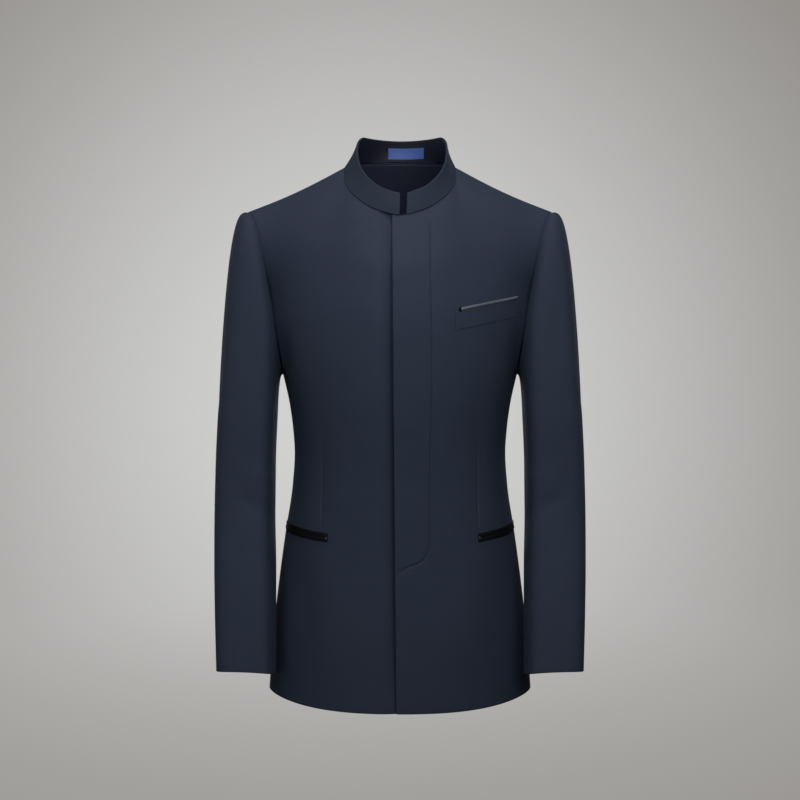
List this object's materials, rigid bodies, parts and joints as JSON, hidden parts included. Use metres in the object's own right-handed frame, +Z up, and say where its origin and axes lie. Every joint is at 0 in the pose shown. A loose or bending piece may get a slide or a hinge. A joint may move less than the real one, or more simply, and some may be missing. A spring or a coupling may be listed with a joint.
{
  "type": "stand collar jacket",
  "caption": "Navy tailored jacket with a stand collar, hidden-button fly front, welted chest pocket and satin-jetted waist pockets, hollow as if worn.",
  "frame": {"origin": "midway between the neck points of the shoulder seams, where the wearer's shoulders hold the jacket up", "axes": "+Z up, +X towards the wearer's left, -Y towards the front"},
  "size_m": [0.5142, 0.2668, 0.789],
  "materials": {
    "wool": "fine worsted wool, dark navy, soft low sheen",
    "satin": "black satin weave",
    "piping": "grey-blue satin",
    "lining": "smooth dark lining twill",
    "label": "blue woven label, bare"
  },
  "bodies": {
    "root": {"front_left": "wool", "front_right": "wool", "back_left": "wool", "back_right": "wool", "sleeve_left_upper": "wool", "sleeve_left_under": "wool", "sleeve_right_upper": "wool", "sleeve_right_under": "wool", "collar_stand": "wool", "chest_welt": "wool", "chest_piping": "piping", "jet_left_upper": "satin", "jet_left_lower": "satin", "jet_right_upper": "satin", "jet_right_lower": "satin", "neck_lining": "lining", "neck_label": "label"}
  },
  "joints": []
}
